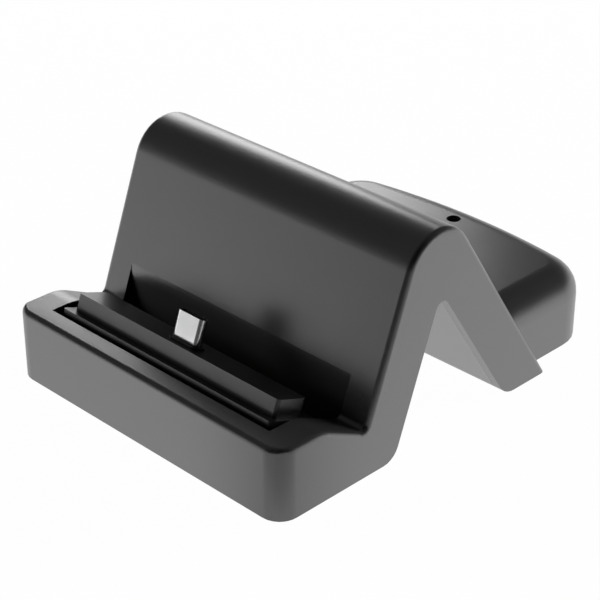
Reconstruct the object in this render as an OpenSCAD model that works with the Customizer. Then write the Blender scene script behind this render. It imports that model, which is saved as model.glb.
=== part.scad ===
// Charging stand for a handheld game console.
// A folded shell: a low tray in front, a leaning backrest, a rounded ridge, a rear leg
// and a low electronics box behind it. The plug stands on a rocking carrier in the tray.
// Millimetres. X is the width, Y runs from the front to the back, Z is up.

/* [Shell outline, seen from the side] */
// Width of the tray, the backrest and the legs
body_w = 86; // [80:1:100]
// Height of the tray above the underside
tray_h = 17.4; // [16.5:0.1:19]
// Distance from the front face to the bend where the seat starts to fall
seat_bend_y = 12.2; // [11:0.1:13.5]
// Fall of the seat towards the backrest, in degrees
seat_fall = 26; // [22:1:28]
// Radius of the bend at the start of the seat
seat_bend_r = 12; // [6:1:13]
// Radius of the corner between seat and backrest
root_r = 1.5; // [0.6:0.1:2.2]
// Distance from the front face to the backrest's plane, at the underside
backrest_foot_y = 21.2; // [20.6:0.1:22]
// Lean of the backrest from the vertical, in degrees
lean = 20.4; // [19:0.2:22]
// Radius of the ridge
ridge_r = 10.3; // [9:0.1:11.5]
// Distance from the front face to the rear leg's outer plane, at the underside
rear_foot_y = 86.2; // [84:0.2:90]
// Lean of the rear leg from the vertical, in degrees
rear_lean = 33.5; // [32:0.5:35]
// Thickness of both legs
leg_t = 12.3; // [11.6:0.1:13]
// Radius inside the fold, under the ridge
crotch_r = 2; // [1.2:0.1:3]
// Radius at the rear bottom edge of the front leg
heel_r = 4.7; // [3:0.1:6]
// Radius at the front bottom edge of the rear leg
toe_r = 6; // [4:0.1:7]

/* [Shell edges and walls] */
// Radius of the tray's front corners, seen from above
front_corner_r = 4.9; // [3:0.1:6]
// Radius of the moulded edge all round the upper side
edge_r = 1.35; // [0.9:0.05:1.6]
// Wall of the upper shell
wall = 2; // [1.6:0.1:2.2]
// Wall of the base cover
cover_t = 2; // [1.8:0.1:2.2]
// Seam between the upper shell and the base cover
seam = 0.15; // [0.1:0.01:0.25]

/* [Electronics box behind the rear leg] */
// Width of the box
box_w = 77; // [74:1:79]
// Height of the box
box_h = 18.4; // [17:0.1:19.5]
// Depth of the box behind the rear leg's foot, to the middle of the back
box_d = 25.9; // [24:0.1:29]
// Radius of the bowed back wall
back_bow_r = 170; // [120:5:300]
// Radius of the box's rear corners, seen from above
box_corner_r = 11; // [9.5:0.1:13]
// Radius of the box's soft top edge
box_edge_r = 7.4; // [5:0.1:8]
// Diameter of the indicator hole
indicator_d = 3.6; // [3:0.1:4.2]
// Distance from the back wall to the indicator hole
indicator_inset = 9.6; // [8.5:0.1:12]

/* [Pocket for the connector carrier] */
// Room between the pocket and the side walls, where the front cover screws stand
side_room = 4.4; // [4:0.1:5]
// Distance from the front face to the pocket
pocket_front_y = 5; // [4.6:0.1:5.4]
// Distance from the front face to the pocket's rear wall
pocket_rear_y = 28.3; // [27.6:0.1:28.8]
// Radius that runs the pocket's rear wall up into the backrest
pocket_blend_r = 12; // [6:0.5:14]
// Wall around the pocket
pocket_wall = 1.4; // [1.2:0.1:1.6]

/* [Connector carrier] */
// Gap between the flange and each end of the pocket
flange_gap = 1.6; // [1.2:0.1:2]
// Depth of the flange
flange_d = 13.4; // [12.6:0.1:14]
// Thickness of the flange
flange_t = 1.15; // [1:0.05:1.6]
// Step from the flange's end to the end of the bar that the console stands on
bar_step = 1.4; // [0.8:0.1:2]
// Depth of the bar
bar_d = 8.5; // [7.6:0.1:9]
// Height of the bar above the flange
bar_h = 4.1; // [3.5:0.1:4.8]
// Height of the flange's top, at its middle, above the underside
flange_z = 15.6; // [15.2:0.1:16]
// Distance from the front face to the middle of the flange's top
flange_y = 13.2; // [12.9:0.1:13.6]
// Depth of the pivot axis below the flange's top
pivot_drop = 4; // [3.6:0.1:4.3]
// Depth of the carrier's body below the flange's top
carrier_body_h = 8; // [7.4:0.1:8.4]
// Radius of the pivot pins
pin_r = 1; // [0.8:0.05:1.1]
// Running clearance of the pins in the shell, on the radius
pin_play = 0.05; // [0.03:0.01:0.08]

/* [Console plug] */
// Width of the plug's steel shell
plug_w = 8.25; // [8.2:0.05:8.4]
// Thickness of the plug's steel shell
plug_t = 2.4; // [2.35:0.05:2.5]
// Length of the plug above the bar
plug_reach = 6.6; // [6:0.1:7]
// Sheet thickness of the plug's steel shell
plug_sheet = 0.25; // [0.2:0.05:0.3]

/* [Main board and inlet] */
// Width of the main board
board_w = 44; // [38:1:50]
// Depth of the main board
board_d = 25; // [22:0.5:26]
// Thickness of the boards
board_t = 1; // [0.8:0.1:1.6]
// Height of the main board's underside above the underside of the stand
board_z = 5; // [4.6:0.1:5.6]
// Width of the inlet socket
socket_w = 8.94; // [8.9:0.02:9.1]
// Height of the inlet socket
socket_h = 3.26; // [3.2:0.02:3.4]
// Depth of the inlet socket
socket_d = 7.35; // [6.5:0.05:8]

/* [Feet and screws] */
// Radius of the rubber feet
foot_r = 4; // [3:0.1:4.4]
// Height of a foot below the shell
foot_proud = 0.5; // [0.4:0.1:1]
// Depth of a foot's seat in the base cover
foot_seat = 0.8; // [0.5:0.1:1]
// Radius of the cover screws' shanks
screw_r = 0.85; // [0.8:0.05:1]
// Radius of the cover screws' heads
screw_head_r = 1.55; // [1.5:0.05:1.65]

/* [Hidden] */

tan_lean = tan(lean);
cos_lean = cos(lean);
tan_rear = tan(rear_lean);
cos_rear = cos(rear_lean);
tan_fall = tan(seat_fall);
cos_fall = cos(seat_fall);
half_w = body_w / 2;
box_half = box_w / 2;
stand_d = rear_foot_y + box_d;
pocket_w = body_w - 2 * (wall + side_room + pocket_wall);
flange_w = pocket_w - 2 * flange_gap;
bar_w = flange_w - 2 * bar_step;

// The slack that keeps parts that only touch from sharing a face
fit = 0.1;
// A light press or screw fit, on the radius
snug = 0.02;
// How far a cut runs past the surface that it opens
over = 1;
// Smallest radius left on an inset corner
least_r = 0.2;

// The box seen from above: its corner arcs touch the bowed back wall
box_front_overlap = leg_t / 2;
back_centre_y = stand_d - back_bow_r;
box_corner_x = box_half - box_corner_r;
box_corner_y = back_centre_y
    + sqrt(pow(back_bow_r - box_corner_r, 2) - pow(box_corner_x, 2));
bow_angle = asin(box_corner_x / (back_bow_r - box_corner_r));
indicator_y = stand_d - indicator_inset;
guide_hold = 4;
guide_boss_wall = 1.2;
guide_recess = 1.2;

// The carrier rocks about an axis below the middle of its flange
pivot_y = flange_y - pivot_drop * sin(lean);
pivot_z = flange_z - pivot_drop * cos(lean);
carrier_body_d = bar_d + 0.7;
carrier_body_half = bar_w / 2 - 0.9;
carrier_skin = 1.4;
carrier_end = 4.4;
carrier_roof = 2.8;
pocket_half = pocket_w / 2;
pocket_floor_gap = 0.3;
pocket_blend_steps = 6;
carrier_corner_r = 0.8;

// The plug, its lip and the board below it, in the carrier's own frame
plug_y = -0.4;
plug_slack = 0.15;
plug_foot = -1;
plug_tip = bar_h + plug_reach;
lip_h = 0.45;
lip_w = 0.7;
core_foot = -2;
core_recess = 0.3;
slot_w = 6.7;
slot_t = 0.95;
slot_deep = 5.4;
contact_count = 12;
contact_pitch = 0.5;
contact_w = 0.26;
contact_t = 0.1;
contact_l = 4;
plug_board_w = 16;
plug_board_t = 0.8;
cap_t = 1;
cap_slack = 0.1;

// The springs wind round the pins between the carrier and the pocket's end walls
spring_turns = 4.5;
spring_wire_r = 0.2;
spring_pitch = 0.6;
spring_leg = 3.6;
spring_steps = 14;

// The flat lead lies on the cover and runs up through both legs
lead_w = 6;
lead_t = 0.5;
lead_gap = 0.3;
lead_slot = 1.5;
lead_front_y = 10;
lead_front_top = 7.3;

board_rear_y = stand_d - wall - 2.5;
board_front_y = board_rear_y - board_d;
flex_connector_y = board_front_y + 1.5;
flex_connector_d = 3;
lead_rear_y = flex_connector_y + flex_connector_d + 0.9;
controller_at = [-9, board_front_y + 10];
coil_at = [8, board_front_y + 10];
capacitors_at = [-14, board_front_y + 16];
resistors_at = [9, board_front_y + 17];
small_part_pitch = 3;
controller_size = [5, 5, 0.9];
coil_size = [4.5, 4.5, 2.4];
capacitor_size = [1.2, 2, 0.9];
resistor_size = [1.6, 0.8, 0.6];
board_top = board_z + board_t;
socket_mouth_y = stand_d - 0.7;
socket_z = board_top + socket_h / 2;
socket_slack = 0.3;
socket_sheet = 0.3;
tongue_w = 6.7;
tongue_t = 0.7;
tongue_recess = 0.9;
tongue_root = 2;
led_h = 0.7;

rear_screw_inset = [7, 23];
front_screw_inset = 4.3;
cover_screw_rear = [box_half - rear_screw_inset.x, stand_d - rear_screw_inset.y];
cover_screw_front = [half_w - wall - side_room / 2, pocket_rear_y - front_screw_inset];
cover_screws_at = [for (s = [-1, 1]) each [
    [s * cover_screw_front.x, cover_screw_front.y],
    [s * cover_screw_rear.x, cover_screw_rear.y]]];
screw_reach = 6;
cover_screw_top = cover_t + screw_reach;
head_seat = 1.2;
boss_r = max(screw_r + 1.3, side_room / 2 + 0.2);
post_r = 1.9;
board_screw_at = [board_w / 2 - 4, board_front_y + 4];
board_posts_at = [for (s = [-1, 1]) each [
    [s * board_screw_at.x, board_screw_at.y],
    [s * board_screw_at.x, board_rear_y - 9]]];
board_screw_r = 0.75;
board_screw_head_r = 1.4;
board_screw_head_h = 0.8;
foot_front = [half_w - 11, 11];
foot_rear = [box_half - 12, stand_d - 11];
foot_chamfer = 0.3;

rib_t = 1.2;
rib_h = 2.4;
ribs_at = [-22, 0, 22];

// The planes of the side outline. ins moves the upper side inwards, under the lower side.
function backrest_y(z, ins) = backrest_foot_y + z * tan_lean + ins / cos_lean;
function rear_y(z, ins) = rear_foot_y - z * tan_rear - ins / cos_rear;
function leg_front_y(z, under) = backrest_foot_y + z * tan_lean + (leg_t - under) / cos_lean;
function leg_rear_y(z, under) = rear_foot_y - z * tan_rear - (leg_t - under) / cos_rear;

function seat_root(ins) =
    let(fall_z = tray_h + seat_bend_y * tan_fall - ins / cos_fall,
        y = (backrest_y(0, ins) + tan_lean * fall_z) / (1 + tan_lean * tan_fall))
    [y, fall_z - y * tan_fall];
function ridge_apex(ins) =
    let(z = (rear_y(0, ins) - backrest_y(0, ins)) / (tan_lean + tan_rear))
    [backrest_y(z, ins), z];
function crotch_apex(under) =
    let(z = (leg_rear_y(0, under) - leg_front_y(0, under)) / (tan_lean + tan_rear))
    [leg_front_y(z, under), z];

// Corners of the side outline, from the front bottom edge up and over to the back
function outline_corners(ins, under, front) = [
    [front, under],
    [front, tray_h - ins],
    [seat_bend_y - ins * tan(seat_fall / 2), tray_h - ins],
    seat_root(ins),
    ridge_apex(ins),
    [rear_y(under, ins), under],
    [leg_rear_y(under, under), under],
    crotch_apex(under),
    [leg_front_y(under, under), under]];
function outline_radii(ins, under) = [
    0,
    max(edge_r - ins, least_r),
    max(seat_bend_r - ins, least_r),
    root_r + ins,
    ridge_r - ins,
    0,
    max(toe_r - under, least_r),
    max(crotch_r + under, least_r),
    max(heel_r - under, least_r)];
outline_steps = [0, 4, 4, 4, 14, 0, 5, 4, 5];

function unit(v) = v / norm(v);
function turned(v, a) = [v.x * cos(a) - v.y * sin(a), v.x * sin(a) + v.y * cos(a)];
// The arc that rounds corner p between its neighbours a and b
function corner_arc(a, p, b, r, steps) =
    steps == 0 ? [p] :
    let(u = unit(a - p), v = unit(b - p),
        half = acos(u * v) / 2,
        centre = p + unit(u + v) * r / sin(half),
        first = p + u * r / tan(half) - centre,
        turn = sign(cross(first, p - centre)) * (180 - 2 * half))
    [for (k = [0:steps]) centre + turned(first, turn * k / steps)];
function rounded(pts, radii, steps) =
    let(n = len(pts))
    [for (i = [0:n - 1])
        each corner_arc(pts[(i + n - 1) % n], pts[i], pts[(i + 1) % n], radii[i], steps[i])];
function side_outline(ins, under, front) =
    rounded(outline_corners(ins, under, front), outline_radii(ins, under), outline_steps);

// Inset of a round edge of radius r, at a distance x in from where its arc starts
function arc_inset(x, r) = x <= 0 ? 0 : r - sqrt(max(r * r - x * x, 0));

corner_steps = 4;
edge_steps = 4;
// Widths at which the moulded body's outline is set out, from the middle to one side
body_stations = concat(
    [for (k = [0:corner_steps - 1])
        half_w - front_corner_r + (front_corner_r - edge_r) * sin(90 * k / corner_steps)],
    [for (k = [0:edge_steps]) half_w - edge_r + edge_r * sin(90 * k / edge_steps)]);
function mirrored(list) = concat([for (i = [len(list) - 1:-1:0]) -list[i]], list);
function body_ring(x) =
    let(w = abs(x),
        front = arc_inset(w - half_w + front_corner_r, front_corner_r),
        ins = arc_inset(w - half_w + edge_r, edge_r))
    [for (p = side_outline(ins, 0, front)) [x, p.x, p.y]];

// Where each corner's points start in the outline
function corner_start(i) = i == 0 ? 0 : corner_start(i - 1) + outline_steps[i - 1] + 1;
function corner_end(i) = corner_start(i) + outline_steps[i];
function fan(apex, points) = [for (k = [0:len(points) - 2]) [apex, points[k], points[k + 1]]];
function span(a, b) = [for (k = [a:b]) k];
// The side outline folds back on itself, so its flat ends are laid out as fans of triangles:
// the tray, the front leg up to the top of the ridge, the fold, and the rear leg. Each
// fan starts from a point that sees all of its own points
function side_fans() =
    let(root = corner_end(3), top = corner_start(4) + floor(outline_steps[4] / 2),
        fold = corner_start(7), fold_end = corner_end(7),
        heel = corner_start(8), heel_end = corner_end(8))
    concat(
        fan(heel_end, concat([0], span(1, root), span(heel, heel_end - 1))),
        fan(fold_end, concat([heel], span(root, top))),
        fan(top, span(fold, fold_end)),
        fan(fold, span(top, fold - 1)));

// A solid skinned over rings that all have the same number of points; ends holds the
// faces of the last ring, and of the first one turned over
module skin(rings, ends) {
    n = len(rings[0]);
    last = len(rings) - 1;
    sides = [for (i = [0:last - 1], k = [0:n - 1])
        let(a = i * n + k, b = i * n + (k + 1) % n) each [
            [a, b, b + n],
            [a, b + n, a + n]]];
    polyhedron(
        points = [for (r = rings) each r],
        faces = concat(sides,
            [for (f = ends) [for (k = [len(f) - 1:-1:0]) f[k]]],
            [for (f = ends) [for (k = f) last * n + k]]),
        convexity = 8);
}

// Extrudes a side view along the width
module across(width, x = 0)
    translate([x - width / 2, 0, 0]) rotate([90, 0, 90]) linear_extrude(width) children();

module side_shape(ins, under) polygon(side_outline(ins, under, ins));

// The box's plan, its rear corners and bowed back rounded by ins less than outside
bow_steps = 12;
function box_plan(ins, front_y) = concat(
    [[-(box_half - ins), front_y], [box_half - ins, front_y]],
    [for (k = [0:7]) let(a = k * (90 - bow_angle) / 7, r = box_corner_r - ins)
        [box_corner_x + r * cos(a), box_corner_y + r * sin(a)]],
    [for (k = [1:bow_steps - 1]) let(a = bow_angle * (1 - 2 * k / bow_steps), r = back_bow_r - ins)
        [r * sin(a), back_centre_y + r * cos(a)]],
    [for (k = [7:-1:0]) let(a = k * (90 - bow_angle) / 7, r = box_corner_r - ins)
        [-box_corner_x - r * cos(a), box_corner_y + r * sin(a)]]);
box_edge_steps = 7;
// The box inset all over by ins, reaching into the rear leg down to front_ins below its skin
module box_solid(ins, low_z, front_ins) {
    r = box_edge_r - ins;
    levels = concat([for (k = [box_edge_steps:-1:0]) let(a = 90 * k / box_edge_steps)
            [box_h - box_edge_r + r * sin(a), r * (1 - cos(a))]],
        [[low_z, 0]]);
    skin([for (l = levels)
        [for (p = box_plan(ins + l[1], rear_y(l[0], front_ins))) [p.x, p.y, l[0]]]],
        [span(0, len(box_plan(0, 0)) - 1)]);
}

// A flat oval, as wide as w and as thick as t
module oval(w, t, grow = 0) {
    square([w - t, t + 2 * grow], center = true);
    for (s = [-1, 1]) translate([s * (w - t) / 2, 0]) circle(r = t / 2 + grow, $fn = 48);
}

// Stands the model on its feet with the origin under its middle
module placed() translate([0, -stand_d / 2, foot_proud]) children();
// The carrier's own frame: the middle of the flange's top, leaning with the backrest
module on_carrier() placed() translate([0, flange_y, flange_z]) rotate([-lean, 0, 0]) children();

module shell_cavity() {
    across(body_w - 2 * wall) side_shape(wall, -over);
    box_solid(wall, -over, wall + over);
}

module pocket_walls() {
    intersection() {
        translate([-pocket_half - pocket_wall, pocket_front_y - pocket_wall,
                   cover_t + pocket_floor_gap])
            cube([pocket_w + 2 * pocket_wall,
                  pocket_rear_y - pocket_front_y + 2 * pocket_wall, tray_h * 2]);
        across(body_w - wall) side_shape(wall / 2, 0);
    }
}

// The pocket seen from the side. Its rear wall rounds over into a line that lies just in
// front of the backrest, so that no sliver of the backrest is cut above the rounding.
module pocket_side() {
    top = tray_h * 2;
    foot = [pocket_rear_y, -over];
    meet = [pocket_rear_y, (pocket_rear_y - backrest_y(0, -snug)) / tan_lean];
    crest = [backrest_y(top, -snug), top];
    polygon(concat([[pocket_front_y, -over], foot],
        corner_arc(foot, meet, crest, pocket_blend_r, pocket_blend_steps),
        [crest, [pocket_front_y, top]]));
}

module screw_boss(at) {
    intersection() {
        translate([at.x, at.y, cover_t + fit]) cylinder(r = boss_r, h = tray_h * 2, $fn = 48);
        union() {
            across(body_w - wall) side_shape(wall / 2, 0);
            box_solid(wall / 2, 0, wall + over);
        }
    }
}

module ridge_ribs() {
    for (x = ribs_at) across(rib_t, x) intersection() {
        difference() {
            side_shape(wall / 2, cover_t + 1);
            side_shape(wall + rib_h, -over);
        }
        translate([0, tray_h * 1.6]) square([rear_foot_y, body_w]);
    }
}

module upper_shell() color("dimgray") placed() difference() {
    union() {
        difference() {
            union() {
                skin([for (x = mirrored(body_stations)) body_ring(x)], side_fans());
                box_solid(0, 0, box_front_overlap);
            }
            shell_cavity();
        }
        pocket_walls();
        for (at = cover_screws_at) screw_boss(at);
        ridge_ribs();
        translate([0, indicator_y, box_h - wall - guide_hold])
            cylinder(r = indicator_d / 2 + guide_boss_wall, h = guide_hold + wall / 2, $fn = 48);
    }
    across(pocket_w) pocket_side();
    translate([0, pivot_y, pivot_z]) rotate([0, 90, 0])
        cylinder(r = pin_r + pin_play, h = pocket_w + 4 * pocket_wall, center = true, $fn = 48);
    translate([-lead_w / 2 - lead_slot, pocket_rear_y - over, 0])
        cube([lead_w + 2 * lead_slot, pocket_wall + 2 * over, cover_t + 5]);
    translate([0, indicator_y, box_h - wall * 3])
        cylinder(r = indicator_d / 2, h = wall * 4, $fn = 48);
    translate([0, stand_d + over, socket_z]) rotate([90, 0, 0])
        linear_extrude(wall + 3 * over) oval(socket_w, socket_h, socket_slack);
    for (at = cover_screws_at) translate([at.x, at.y, 0])
        cylinder(r = screw_r, h = cover_screw_top + over, $fn = 32);
}

module cover_sheet() {
    across(body_w - 2 * wall - 2 * seam) difference() {
        side_shape(wall + seam, 0);
        side_shape(wall + seam - over, cover_t);
    }
    linear_extrude(cover_t) polygon(box_plan(wall + seam, rear_y(0, leg_t / 2)));
}

module base_cover() color("dimgray") placed() difference() {
    union() {
        cover_sheet();
        for (at = board_posts_at) translate([at.x, at.y, cover_t / 2])
            cylinder(r = post_r, h = board_z - cover_t / 2, $fn = 32);
    }
    for (at = cover_screws_at) translate([at.x, at.y, -over]) {
        cylinder(r = screw_r + fit, h = cover_t + 2 * over, $fn = 32);
        cylinder(r = screw_head_r + fit, h = over + head_seat, $fn = 32);
    }
    for (s = [-1, 1]) {
        for (at = [foot_front, foot_rear]) translate([s * at.x, at.y, -over])
            cylinder(r = foot_r + fit, h = over + foot_seat, $fn = 48);
        translate([s * board_screw_at.x, board_screw_at.y, cover_t])
            cylinder(r = board_screw_r + snug, h = board_z, $fn = 32);
    }
}

// A plate seen from above, its corners rounded
module soft_plate(w, d) {
    r = carrier_corner_r;
    square([w - 2 * r, d], center = true);
    square([w, d - 2 * r], center = true);
    for (sx = [-1, 1], sy = [-1, 1]) translate([sx * (w / 2 - r), sy * (d / 2 - r)])
        circle(r = r, $fn = 32);
}

module connector_carrier() color("black") on_carrier() difference() {
    union() {
        translate([0, 0, -flange_t]) linear_extrude(flange_t) soft_plate(flange_w, flange_d);
        translate([0, 0, -flange_t / 2])
            linear_extrude(bar_h + flange_t / 2) soft_plate(bar_w, bar_d);
        translate([-carrier_body_half, -carrier_body_d / 2, -carrier_body_h])
            cube([2 * carrier_body_half, carrier_body_d, carrier_body_h - flange_t / 2]);
        translate([0, plug_y, bar_h - over])
            linear_extrude(over + lip_h) oval(plug_w + 2 * lip_w, plug_t + 2 * lip_w);
    }
    translate([-carrier_body_half + carrier_end, -carrier_body_d / 2 + carrier_skin,
               -carrier_body_h - over])
        cube([2 * (carrier_body_half - carrier_end), carrier_body_d - 2 * carrier_skin,
              carrier_body_h + over + bar_h - carrier_roof]);
    translate([0, plug_y, -over]) linear_extrude(bar_h + 3 * over)
        oval(plug_w + 2 * plug_slack, plug_t + 2 * plug_slack);
    translate([0, 0, -pivot_drop]) rotate([0, 90, 0])
        cylinder(r = pin_r + snug, h = bar_w + 2 * over, center = true, $fn = 48);
}

module carrier_cap() color("black") on_carrier()
    translate([-carrier_body_half + carrier_end + cap_slack,
               -carrier_body_d / 2 + carrier_skin + cap_slack, -carrier_body_h])
        cube([2 * (carrier_body_half - carrier_end - cap_slack),
              carrier_body_d - 2 * (carrier_skin + cap_slack), cap_t]);

module at_plug(z) on_carrier() translate([0, plug_y, z]) children();

module plug_shell() color("lightgray") at_plug(plug_foot) linear_extrude(plug_tip - plug_foot)
    difference() {
        oval(plug_w, plug_t);
        oval(plug_w - 2 * plug_sheet, plug_t - 2 * plug_sheet);
    }

module plug_core() color("black") difference() {
    at_plug(core_foot) linear_extrude(plug_tip - core_recess - core_foot)
        oval(plug_w - 2 * (plug_sheet + snug), plug_t - 2 * (plug_sheet + snug));
    at_plug(plug_tip - core_recess - slot_deep) translate([-slot_w / 2, -slot_t / 2, 0])
        cube([slot_w, slot_t, slot_deep + over]);
}

module plug_contacts() color("gold")
    at_plug(plug_tip - core_recess - contact_l - over / 2)
        for (s = [-1, 1], k = [0:contact_count - 1])
            translate([(k - (contact_count - 1) / 2) * contact_pitch - contact_w / 2,
                       s * (slot_t - contact_t) / 2 - contact_t / 2, 0])
                cube([contact_w, contact_t, contact_l]);

module plug_board() color("darkgreen") at_plug(cap_t - carrier_body_h)
    translate([-plug_board_w / 2, -plug_board_t / 2, 0])
        cube([plug_board_w, plug_board_t, core_foot - cap_t + carrier_body_h]);

module pivot_pin(side) color("silver") placed() translate([0, pivot_y, pivot_z])
    rotate([0, side * 90, 0])
        translate([0, 0, carrier_body_half - carrier_end + 0.3])
            cylinder(r = pin_r, h = pocket_half + pocket_wall - carrier_body_half
                + carrier_end - 0.5, $fn = 48);

// The wire's path round the pin: a leg, the coil and the other leg, as [x, angle, leg length]
function spring_path() =
    let(n = spring_steps * spring_turns, turned_x = spring_pitch * spring_turns)
    concat([[0, 0, -spring_leg]],
        [for (k = [0:n]) [turned_x * k / n, 360 * spring_turns * k / n, 0]],
        [[turned_x, 360 * spring_turns, spring_leg]]);
module return_spring(side) color("gray") placed()
    translate([side * (pocket_half - 0.4 - spring_pitch * spring_turns), pivot_y, pivot_z]) {
        coil_r = pin_r + snug + 2 * spring_wire_r;
        sides = 6;
        rings = [for (p = spring_path())
            let(out = [cos(p[1]), sin(p[1])], along = [-sin(p[1]), cos(p[1])])
            [for (k = [0:sides - 1]) let(a = 360 * k / sides,
                r = coil_r + spring_wire_r * cos(a), yz = out * r + along * p[2])
                [side * (p[0] + spring_wire_r * sin(a)), yz.x, yz.y]]];
        skin(side > 0 ? rings : [for (k = [len(rings) - 1:-1:0]) rings[k]],
            [span(0, sides - 1)]);
    }

module main_board() color("darkgreen") placed() difference() {
    translate([-board_w / 2, board_front_y, board_z]) cube([board_w, board_d, board_t]);
    for (s = [-1, 1]) translate([s * board_screw_at.x, board_screw_at.y, board_z - over])
        cylinder(r = board_screw_r + 2 * fit, h = board_t + 2 * over, $fn = 32);
}

// Turns a plan drawn at the inlet's mouth to run forwards into the stand
module into_inlet(depth) placed() translate([0, socket_mouth_y, socket_z])
    rotate([90, 0, 0]) linear_extrude(depth) children();

module inlet_socket() color("silver") {
    into_inlet(socket_d) difference() {
        oval(socket_w, socket_h);
        oval(socket_w - 2 * socket_sheet, socket_h - 2 * socket_sheet);
    }
}

module inlet_tongue() color("black") difference() {
    into_inlet(socket_d) oval(socket_w - 2 * (socket_sheet + snug),
                              socket_h - 2 * (socket_sheet + snug));
    difference() {
        translate([0, over, 0]) into_inlet(socket_d - tongue_root + over)
            oval(socket_w, socket_h);
        translate([0, -tongue_recess, 0]) into_inlet(socket_d)
            square([tongue_w, tongue_t], center = true);
    }
}

// A package standing on the main board
module board_package(at, size) placed()
    translate([at.x - size.x / 2, at.y - size.y / 2, board_top]) cube(size);

module charge_controller() color("black")
    board_package(controller_at, controller_size);

module board_parts() color("tan") {
    board_package(coil_at, coil_size);
    for (k = [0:3]) board_package(capacitors_at + [k * small_part_pitch, 0], capacitor_size);
    for (k = [0:2]) board_package(resistors_at + [k * small_part_pitch, 0], resistor_size);
}

module flex_connector() color("ivory") placed()
    translate([-lead_w / 2 - 1, flex_connector_y, cover_t + lead_gap + lead_t])
        cube([lead_w + 2, flex_connector_d, board_z - cover_t - lead_gap - lead_t]);

// The lower side of the stand from the rear leg to the tray, at a height under its skin
function underside_run(under) =
    let(outline = side_outline(0, under, 0))
    [for (k = [corner_start(6):corner_end(8)]) outline[k]];
module flex_lead() color("orange") placed() across(lead_w) {
    low = cover_t + lead_gap;
    high = low + lead_t;
    back = underside_run(high);
    polygon(concat(
        [[lead_rear_y, low]], underside_run(low), [[lead_front_y, low]],
        [[lead_front_y, lead_front_top], [lead_front_y + lead_t, lead_front_top]],
        [[lead_front_y + lead_t, high]], [for (k = [len(back) - 1:-1:0]) back[k]],
        [[lead_rear_y, high]]));
}

module indicator_led() color("white") board_package([0, indicator_y], [1.6, 0.8, led_h]);

module light_guide() color("dimgray") placed() translate([0, indicator_y, 0]) {
    neck = box_h - wall - guide_hold;
    foot = board_top + led_h + 0.3;
    translate([0, 0, foot]) cylinder(r = indicator_d / 3, h = neck - foot + over, $fn = 48);
    translate([0, 0, neck]) cylinder(r = indicator_d / 2 - plug_slack,
        h = guide_hold + wall - guide_recess, $fn = 48);
}

module cross_recess(r, deep) for (a = [0, 90]) rotate(a)
    translate([-r * 0.6, -r * 0.12, -over]) cube([r * 1.2, r * 0.24, deep + over]);

module board_screws() color("silver") placed()
    for (s = [-1, 1]) translate([s * board_screw_at.x, board_screw_at.y, 0]) {
        translate([0, 0, cover_t + 0.5])
            cylinder(r = board_screw_r, h = board_top - cover_t, $fn = 32);
        translate([0, 0, board_top]) difference() {
            cylinder(r = board_screw_head_r, h = board_screw_head_h, $fn = 32);
            translate([0, 0, board_screw_head_h]) mirror([0, 0, 1])
                cross_recess(board_screw_head_r, board_screw_head_h / 2);
        }
    }

module cover_screws() color("silver") placed()
    for (at = cover_screws_at) translate([at.x, at.y, 0]) difference() {
        union() {
            translate([0, 0, fit]) cylinder(r = screw_head_r, h = head_seat - fit, $fn = 32);
            translate([0, 0, fit]) cylinder(r = screw_r - snug, h = cover_screw_top, $fn = 32);
        }
        cross_recess(screw_head_r, head_seat / 2);
    }

module foot(at) color("darkslategray") placed() translate([at.x, at.y, -foot_proud])
    rotate_extrude($fn = 64) polygon([
        [0, 0], [foot_r - foot_chamfer, 0], [foot_r, foot_chamfer],
        [foot_r, foot_proud + foot_seat], [0, foot_proud + foot_seat]]);

upper_shell();
base_cover();
connector_carrier();
carrier_cap();
plug_shell();
plug_core();
plug_contacts();
plug_board();
pivot_pin(-1);  // pivot_pin_left
pivot_pin(1);  // pivot_pin_right
return_spring(-1);  // return_spring_left
return_spring(1);  // return_spring_right
main_board();
inlet_socket();
inlet_tongue();
charge_controller();
board_parts();
flex_connector();
flex_lead();
indicator_led();
light_guide();
board_screws();
cover_screws();
foot([-foot_front.x, foot_front.y]);  // foot_front_left
foot(foot_front);  // foot_front_right
foot([-foot_rear.x, foot_rear.y]);  // foot_rear_left
foot(foot_rear);  // foot_rear_right
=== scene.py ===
# %% [markdown]
# # A charging stand in satin plastic
# The stand is one folded moulding: a low tray with a rocking plug, a leaning backrest, a
# rounded ridge and a rear leg that ends in a low electronics box. Every solid comes from the
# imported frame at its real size. This lesson gives those solids the rounded edges, the moulded
# grain and the soft light that make them look like the real product.

# %% Load the frame
import math

import bmesh
import bpy
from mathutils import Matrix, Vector


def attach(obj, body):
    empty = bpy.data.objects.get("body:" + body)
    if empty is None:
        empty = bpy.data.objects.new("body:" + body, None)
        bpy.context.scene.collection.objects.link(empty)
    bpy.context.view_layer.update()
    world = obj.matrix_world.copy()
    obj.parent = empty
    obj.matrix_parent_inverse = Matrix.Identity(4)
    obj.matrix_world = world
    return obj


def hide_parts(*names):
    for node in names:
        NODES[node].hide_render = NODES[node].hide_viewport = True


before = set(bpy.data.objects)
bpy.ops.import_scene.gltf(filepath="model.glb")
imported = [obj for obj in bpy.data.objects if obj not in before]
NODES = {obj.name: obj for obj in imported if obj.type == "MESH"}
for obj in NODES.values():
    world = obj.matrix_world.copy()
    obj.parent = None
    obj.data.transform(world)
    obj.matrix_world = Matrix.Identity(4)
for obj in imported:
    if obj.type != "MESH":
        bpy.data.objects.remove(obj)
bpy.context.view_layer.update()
MM = 0.001
print("frame loaded:", len(NODES), "nodes")

# %% [markdown]
# ## Camera
# Product pictures are often taken with a long lens from above the front corner. The camera is
# given by its place, its bearing and how far it looks down. It has no shift, so that any other
# view of the same scene stays level and centred.

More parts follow.
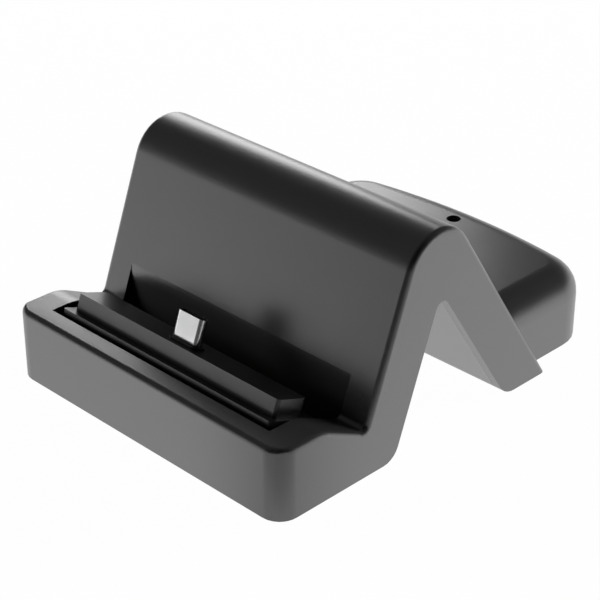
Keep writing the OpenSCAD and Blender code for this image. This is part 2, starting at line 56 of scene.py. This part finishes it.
# %% Make the camera
CAMERA_PLACE = Vector((0.2582, -0.2656, 0.2205))
CAMERA_BEARING = math.radians(44.97)
CAMERA_PITCH = math.radians(29.11)
LENS_PIXELS = 1826.8
FRAME_PIXELS = 600
SENSOR_MM = 36.0
LENS_MM = LENS_PIXELS / FRAME_PIXELS * SENSOR_MM
NEAREST, FARTHEST = 0.01, 20


def make_camera():
    data = bpy.data.cameras.new("camera")
    data.sensor_width = SENSOR_MM
    data.lens = LENS_MM
    data.clip_start = NEAREST
    data.clip_end = FARTHEST
    camera = bpy.data.objects.new("camera", data)
    camera.location = CAMERA_PLACE
    camera.rotation_euler = (math.radians(90) - CAMERA_PITCH, 0, CAMERA_BEARING)
    bpy.context.scene.collection.objects.link(camera)
    bpy.context.scene.camera = camera


make_camera()
print("camera lens, mm:", round(LENS_MM, 1))

# %% [markdown]
# ## Shader groups
# A spark-eroded mould leaves a fine grain on plastic. Several plastics here share it, so it is a
# node group with named inputs: the grain's size and depth, how far the gloss wanders, and how
# far the colour does. It reads Object coordinates, which are real sizes in metres, and it puts
# out only a colour, a roughness and a normal.

# %% Helpers for node trees


def new_group(name, inputs, outputs):
    group = bpy.data.node_groups.new(name, "ShaderNodeTree")
    for label, kind, value in inputs:
        socket = group.interface.new_socket(label, in_out="INPUT", socket_type=kind)
        if value is not None:
            socket.default_value = value
    for label, kind in outputs:
        group.interface.new_socket(label, in_out="OUTPUT", socket_type=kind)
    return group


def add_node(tree, kind, values=None, **settings):
    node = tree.nodes.new(kind)
    for key, value in settings.items():
        setattr(node, key, value)
    for key, value in (values or {}).items():
        node.inputs[key].default_value = value
    return node


def maths(tree, operation, first, second):
    """A Math node whose two inputs are each a number or another node's socket."""
    node = add_node(tree, "ShaderNodeMath", operation=operation)
    for socket, value in zip(node.inputs, (first, second)):
        if isinstance(value, bpy.types.NodeSocket):
            tree.links.new(value, socket)
        else:
            socket.default_value = value
    return node.outputs[0]


# %% The moulded grain
PATCH_MM = 22
GRAIN_HEIGHT_MM = 0.05
GRAIN_INPUTS = [
    ("Color", "NodeSocketColor", None),
    ("Roughness", "NodeSocketFloat", 0.4),
    ("Grain mm", "NodeSocketFloat", 0.25),
    ("Grain depth", "NodeSocketFloat", 0.1),
    ("Gloss drift", "NodeSocketFloat", 0.05),
    ("Colour drift", "NodeSocketFloat", 0.06),
]
GRAIN_OUTPUTS = [
    ("Color", "NodeSocketColor"),
    ("Roughness", "NodeSocketFloat"),
    ("Normal", "NodeSocketVector"),
]


def moulded_grain():
    group = new_group("moulded_grain", GRAIN_INPUTS, GRAIN_OUTPUTS)
    link = group.links.new
    given = group.nodes.new("NodeGroupInput").outputs
    made = group.nodes.new("NodeGroupOutput").inputs
    place = add_node(group, "ShaderNodeTexCoord").outputs["Object"]

    # The fine grain, and the broad patches in which colour and gloss wander.
    fine = add_node(group, "ShaderNodeTexNoise", {"Detail": 3.0, "Roughness": 0.6})
    link(place, fine.inputs["Vector"])
    link(maths(group, "DIVIDE", 1 / MM, given["Grain mm"]), fine.inputs["Scale"])
    broad = add_node(group, "ShaderNodeTexNoise", {"Scale": 1 / (PATCH_MM * MM), "Detail": 4.0})
    link(place, broad.inputs["Vector"])

    bump = add_node(group, "ShaderNodeBump", {"Distance": GRAIN_HEIGHT_MM * MM})
    link(fine.outputs["Fac"], bump.inputs["Height"])
    link(given["Grain depth"], bump.inputs["Strength"])
    link(bump.outputs["Normal"], made["Normal"])

    drift = maths(group, "SUBTRACT", broad.outputs["Fac"], 0.5)
    gloss = maths(group, "MULTIPLY", drift, given["Gloss drift"])
    link(maths(group, "ADD", given["Roughness"], gloss), made["Roughness"])

    fine_drift = maths(group, "SUBTRACT", fine.outputs["Fac"], 0.5)
    shade = maths(group, "MULTIPLY", drift, given["Colour drift"])
    grain_shade = maths(group, "MULTIPLY", fine_drift, given["Colour drift"])
    tone = add_node(group, "ShaderNodeHueSaturation")
    link(maths(group, "ADD", 1.0, maths(group, "ADD", shade, grain_shade)), tone.inputs["Value"])
    link(given["Color"], tone.inputs["Color"])
    link(tone.outputs["Color"], made["Color"])
    return group


GRAIN = moulded_grain()
print("group:", GRAIN.name)

# %% [markdown]
# ## Finishes
# Each plastic is a Principled shader with the shared grain in front of it. The numbers that
# stay the same all over a surface, such as the strength of its gloss, are set on the shader
# itself. The metals get fine drawn lines along one direction instead of the grain.

# %% Plastics


def plastic(name, colour, roughness, grain_mm=0.25, grain_depth=0.1, specular=0.5, ior=1.5):
    material = bpy.data.materials.new(name)
    material.use_nodes = True
    tree = material.node_tree
    shader = tree.nodes["Principled BSDF"]
    shader.inputs["Specular IOR Level"].default_value = specular
    shader.inputs["IOR"].default_value = ior
    grain = add_node(tree, "ShaderNodeGroup", node_tree=GRAIN)
    grain.inputs["Color"].default_value = (*colour, 1)
    grain.inputs["Roughness"].default_value = roughness
    grain.inputs["Grain mm"].default_value = grain_mm
    grain.inputs["Grain depth"].default_value = grain_depth
    for output, target in (("Color", "Base Color"), ("Roughness", "Roughness"),
                           ("Normal", "Normal")):
        tree.links.new(grain.outputs[output], shader.inputs[target])
    return material


SHELL = plastic("satin_shell", (0.024, 0.024, 0.0245), 0.29, grain_mm=0.4, grain_depth=0.45,
                specular=1.0, ior=1.8)
# The cover's base colour is lighter than the shell's. This is a painted reflection: it stands in
# for the bright floor mirrored in the inner faces of the V.
COVER_PAINTED_REFLECTION = plastic("cover_painted_reflection", (0.13, 0.13, 0.131), 0.34, grain_depth=0.3, specular=1.0,
                ior=2.0)
CARRIER = plastic("satin_carrier", (0.007, 0.007, 0.0072), 0.3, specular=1.0, ior=1.68)
DARK_INSERT = plastic("plain_insulator", (0.012, 0.012, 0.012), 0.45)
LAMINATE = plastic("board_laminate", (0.02, 0.12, 0.05), 0.3, grain_mm=0.8, grain_depth=0.15)
CHIP = plastic("chip_package", (0.02, 0.02, 0.02), 0.5)
CERAMIC = plastic("ceramic_parts", (0.42, 0.33, 0.22), 0.5)
IVORY = plastic("connector_body", (0.72, 0.69, 0.6), 0.45)
FILM = plastic("lead_film", (0.5, 0.24, 0.05), 0.25, grain_mm=1.5)
CLEAR = plastic("led_package", (0.85, 0.85, 0.78), 0.2)
GUIDE = plastic("smoked_guide", (0.006, 0.006, 0.006), 0.18, grain_depth=0.02)
RUBBER = plastic("foot_rubber", (0.03, 0.03, 0.03), 0.75, grain_mm=0.6, grain_depth=0.4)
print("plastics made")

# %% Metals
LINE_PITCH_MM = 1.2
LINE_DEPTH_MM = 0.02
LINE_STRENGTH = 0.08
LINE_SHADE = 0.94
GLOSS_FALL, GLOSS_RISE = 0.05, 0.06


def metal(name, colour, roughness, along=(1, 1, 30)):
    """A drawn or ground metal: noise stretched into fine lines, one axis unlike the rest."""
    material = bpy.data.materials.new(name)
    material.use_nodes = True
    tree = material.node_tree
    link = tree.links.new
    shader = tree.nodes["Principled BSDF"].inputs
    shader["Metallic"].default_value = 1.0
    place = add_node(tree, "ShaderNodeTexCoord").outputs["Object"]
    turn = add_node(tree, "ShaderNodeMapping", {"Scale": along})
    link(place, turn.inputs["Vector"])
    noise = add_node(tree, "ShaderNodeTexNoise", {"Scale": 1 / (LINE_PITCH_MM * MM), "Detail": 2.0})
    link(turn.outputs["Vector"], noise.inputs["Vector"])
    lines = noise.outputs["Fac"]
    spread = add_node(tree, "ShaderNodeMapRange",
                      {"To Min": roughness - GLOSS_FALL, "To Max": roughness + GLOSS_RISE})
    link(lines, spread.inputs["Value"])
    link(spread.outputs["Result"], shader["Roughness"])
    shaded = [c * LINE_SHADE for c in colour]
    tone = add_node(tree, "ShaderNodeMixRGB", {"Color1": (*shaded, 1), "Color2": (*colour, 1)})
    link(lines, tone.inputs["Fac"])
    link(tone.outputs["Color"], shader["Base Color"])
    bump = add_node(tree, "ShaderNodeBump",
                    {"Strength": LINE_STRENGTH, "Distance": LINE_DEPTH_MM * MM})
    link(lines, bump.inputs["Height"])
    link(bump.outputs["Normal"], shader["Normal"])
    return material


PLUG_STEEL = metal("plug_steel", (0.95, 0.95, 0.96), 0.12, along=(1, 1, 0.1))
SOCKET_STEEL = metal("socket_steel", (0.7, 0.7, 0.72), 0.3, along=(1, 0.1, 1))
PIN_STEEL = metal("pin_steel", (0.6, 0.6, 0.62), 0.3, along=(0.1, 1, 1))
WIRE_STEEL = metal("spring_steel", (0.5, 0.5, 0.52), 0.35)
SCREW_STEEL = metal("screw_steel", (0.55, 0.55, 0.56), 0.35)
GOLD = metal("contact_gold", (0.83, 0.62, 0.28), 0.25)
print("metals made")

# %% [markdown]
# ## Rounded edges
# No moulded edge is sharp, and the thin bright lines along an edge are what the eye reads as
# solid plastic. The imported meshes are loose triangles, so each piece that shows is made from a
# copy: the doubles are merged, flat neighbours are joined into whole faces, and the creases are
# bevelled with a small radius. A weighted normal then keeps the flats flat. The plug's drawn
# shell has its curves already, so its copy is only merged and smoothed.

# %% Finish a copy of a solid
MERGE_MM = 0.002
FLAT_WITHIN = math.radians(0.6)
BEVEL_SEGMENTS = 2


def sharper_than(edge, angle):
    return len(edge.link_faces) == 2 and edge.calc_face_angle(0) > angle


def finish_copy(node_name, crease_deg, radius_mm=0, least_mm=1.0):
    """A merged, smoothed copy. Creases longer than least_mm are rounded by radius_mm."""
    bm = bmesh.new()
    bm.from_mesh(NODES[node_name].data)
    bmesh.ops.remove_doubles(bm, verts=bm.verts, dist=MERGE_MM * MM)
    crease = math.radians(crease_deg)
    if radius_mm:
        bmesh.ops.dissolve_limit(bm, angle_limit=FLAT_WITHIN, verts=bm.verts, edges=bm.edges)
        chosen = [edge for edge in bm.edges
                  if sharper_than(edge, crease) and edge.calc_length() > least_mm * MM]
        bmesh.ops.bevel(bm, geom=chosen, offset=radius_mm * MM, offset_type="OFFSET",
                        affect="EDGES", segments=BEVEL_SEGMENTS, profile=0.5, material=-1,
                        clamp_overlap=True)
    for face in bm.faces:
        face.smooth = True
    for edge in bm.edges:
        edge.smooth = not sharper_than(edge, crease)
    mesh = bpy.data.meshes.new(node_name + "_finished")
    bm.to_mesh(mesh)
    bm.free()
    piece = bpy.data.objects.new(node_name + "_finished", mesh)
    bpy.context.scene.collection.objects.link(piece)
    weigh = piece.modifiers.new("flats stay flat", "WEIGHTED_NORMAL")
    weigh.keep_sharp = True
    print(piece.name, len(mesh.vertices), "vertices")
    return piece


def stand_for(node_name, body, slot, material, **edges):
    piece = finish_copy(node_name, **edges)
    piece.data.materials.append(material)
    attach(piece, body)
    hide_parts(node_name)


stand_for("upper_shell", "stand", "shell_plastic", SHELL,
          crease_deg=50, radius_mm=0.3, least_mm=0.6)
stand_for("base_cover", "stand", "cover_plastic", COVER_PAINTED_REFLECTION,
          crease_deg=50, radius_mm=0.25, least_mm=0.6)
stand_for("connector_carrier", "carrier", "carrier_plastic", CARRIER,
          crease_deg=30, radius_mm=0.35)
stand_for("plug_shell", "carrier", "plug_steel", PLUG_STEEL, crease_deg=40)

# %% [markdown]
# ## Solids that stay as they are
# Pins, springs, boards and screws already have their true curves, so they only need their
# finish. Each node's own surface takes the material that the real piece would have.

# %% Finish the other nodes
FINISH_OF = {
    "carrier_cap": CARRIER,
    "plug_core": DARK_INSERT,
    "plug_contacts": GOLD,
    "plug_board": LAMINATE,
    "main_board": LAMINATE,
    "inlet_socket": SOCKET_STEEL,
    "inlet_tongue": DARK_INSERT,
    "charge_controller": CHIP,
    "board_parts": CERAMIC,
    "flex_connector": IVORY,
    "flex_lead": FILM,
    "indicator_led": CLEAR,
    "light_guide": GUIDE,
    "board_screws": SCREW_STEEL,
    "cover_screws": SCREW_STEEL,
}
FINISH_OF_KIND = {"pivot_pin": PIN_STEEL, "return_spring": WIRE_STEEL, "foot_": RUBBER}
for start, material in FINISH_OF_KIND.items():
    FINISH_OF.update({name: material for name in NODES if name.startswith(start)})
for name, material in FINISH_OF.items():
    for place in NODES[name].material_slots:
        place.material = material
print("finished nodes:", len(FINISH_OF))

# %% [markdown]
# ## Floor and light
# The floor and the world are plain white to the camera. What dark plastic mirrors is most of
# what it looks like, so mirror rays meet something gentler: a floor whose white fades with the
# distance and towards the front right, and a pale horizon under a dim ceiling. Two large soft
# boxes light the stand without showing in its gloss, and a small one behind it draws the bright
# line along the ridge.

# %% Floor
FLOOR_SIZE = 6.0
FLOOR_PAINT = (0.86, 0.86, 0.86, 1)
FLOOR_GLOW = 0.985
FAR_FLOOR = (0.12, 0.4, 0.5)
FLOOR_FADE = (0.048, 0.09, 0.0)
FRONT_RIGHT = (0.707, -0.707, 0)
WHITE = (1, 1, 1, 1)


def mix_by(tree, share, under, over):
    mix = add_node(tree, "ShaderNodeMixShader")
    for socket, value in zip(mix.inputs, (share, under, over)):
        tree.links.new(value, socket)
    return mix.outputs[0]


def smooth_fade(tree, value, start, end, first, last):
    """The first value up to start, the last one from end on, and a smooth step between."""
    fade = add_node(tree, "ShaderNodeMapRange",
                    {"From Min": start, "From Max": end, "To Min": first, "To Max": last},
                    interpolation_type="SMOOTHSTEP")
    tree.links.new(value, fade.inputs["Value"])
    return fade.outputs["Result"]


def fade_to_front_right(tree, place, start, end, least):
    """1 all round, falling to the least value towards the front right, where no lamp stands."""
    dot = add_node(tree, "ShaderNodeVectorMath", operation="DOT_PRODUCT")
    tree.links.new(place, dot.inputs[0])
    dot.inputs[1].default_value = FRONT_RIGHT
    return smooth_fade(tree, dot.outputs["Value"], start, end, 1.0, least)


def white_share(tree):
    """How much of the floor is plain white: nearly all to the camera, less in a mirror."""
    path = add_node(tree, "ShaderNodeLightPath").outputs
    mirrored = maths(tree, "MAXIMUM", path["Is Glossy Ray"], path["Is Transmission Ray"])
    place = add_node(tree, "ShaderNodeTexCoord").outputs["Object"]
    near = add_node(tree, "ShaderNodeVectorMath", operation="LENGTH")
    tree.links.new(place, near.inputs[0])
    start, end, least = FAR_FLOOR
    far = smooth_fade(tree, near.outputs["Value"], start, end, 1.0, least)
    fade = maths(tree, "MULTIPLY", far, fade_to_front_right(tree, place, *FLOOR_FADE))
    return maths(tree, "MAXIMUM", maths(tree, "MULTIPLY", path["Is Camera Ray"], FLOOR_GLOW),
                 maths(tree, "MULTIPLY", mirrored, fade))


def make_floor():
    mesh = bpy.data.meshes.new("floor")
    bm = bmesh.new()
    bmesh.ops.create_grid(bm, x_segments=1, y_segments=1, size=FLOOR_SIZE / 2)
    bm.to_mesh(mesh)
    bm.free()
    floor = bpy.data.objects.new("floor", mesh)
    bpy.context.scene.collection.objects.link(floor)
    material = bpy.data.materials.new("floor_white")
    material.use_nodes = True
    tree = material.node_tree
    tree.nodes.clear()
    paint = add_node(tree, "ShaderNodeBsdfDiffuse", {"Color": FLOOR_PAINT}).outputs[0]
    glow = add_node(tree, "ShaderNodeEmission", {"Color": WHITE, "Strength": 1.0}).outputs[0]
    out = add_node(tree, "ShaderNodeOutputMaterial")
    tree.links.new(mix_by(tree, white_share(tree), paint, glow), out.inputs["Surface"])
    mesh.materials.append(material)


make_floor()

# %% World
HORIZON_LIGHT = 1.05
CEILING_LIGHT = 0.06
CEILING_FROM = 0.33
FRONT_RIGHT_FADE = (-0.1, 0.55, 0.08)


def make_world():
    """White to the camera. To the object, a pale horizon under a dim ceiling."""
    world = bpy.data.worlds.new("studio")
    world.use_nodes = True
    bpy.context.scene.world = world
    tree = world.node_tree
    tree.nodes.clear()
    path = add_node(tree, "ShaderNodeLightPath")
    way = add_node(tree, "ShaderNodeTexCoord").outputs["Generated"]
    height = add_node(tree, "ShaderNodeSeparateXYZ")
    tree.links.new(way, height.inputs[0])
    fall = smooth_fade(tree, height.outputs["Z"], 0.0, CEILING_FROM, HORIZON_LIGHT, CEILING_LIGHT)
    fade = fade_to_front_right(tree, way, *FRONT_RIGHT_FADE)
    room = add_node(tree, "ShaderNodeBackground")
    tree.links.new(maths(tree, "MULTIPLY", fall, fade), room.inputs["Strength"])
    white = add_node(tree, "ShaderNodeBackground", {"Color": WHITE, "Strength": 1.0})
    seen = mix_by(tree, path.outputs["Is Camera Ray"], room.outputs[0], white.outputs[0])
    out = add_node(tree, "ShaderNodeOutputWorld")
    tree.links.new(seen, out.inputs["Surface"])


make_world()

# %% Lamps
LAMP_AIM = Vector((0, 0, 0.02))
LARGE_BOX = (0.6, 0.4)
SMALL_BOX = (0.22, 0.17)


def soft_box(name, place, size, watts, mirrored):
    data = bpy.data.lights.new(name, "AREA")
    data.shape = "RECTANGLE"
    data.size, data.size_y = size
    data.energy = watts
    lamp = bpy.data.objects.new(name, data)
    lamp.location = place
    lamp.rotation_euler = (LAMP_AIM - Vector(place)).to_track_quat("-Z", "Y").to_euler()
    lamp.visible_camera = False
    lamp.visible_glossy = mirrored
    bpy.context.scene.collection.objects.link(lamp)


soft_box("left_box", (-1.0, -0.6, 0.3), LARGE_BOX, watts=11, mirrored=False)
soft_box("right_box", (0.6, 1.0, 0.3), LARGE_BOX, watts=18, mirrored=False)
soft_box("back_left_box", (-0.315, 0.25, 0.17), SMALL_BOX, watts=0.35, mirrored=True)

bpy.context.scene.view_settings.view_transform = "Standard"
print("floor, world and lamps made")
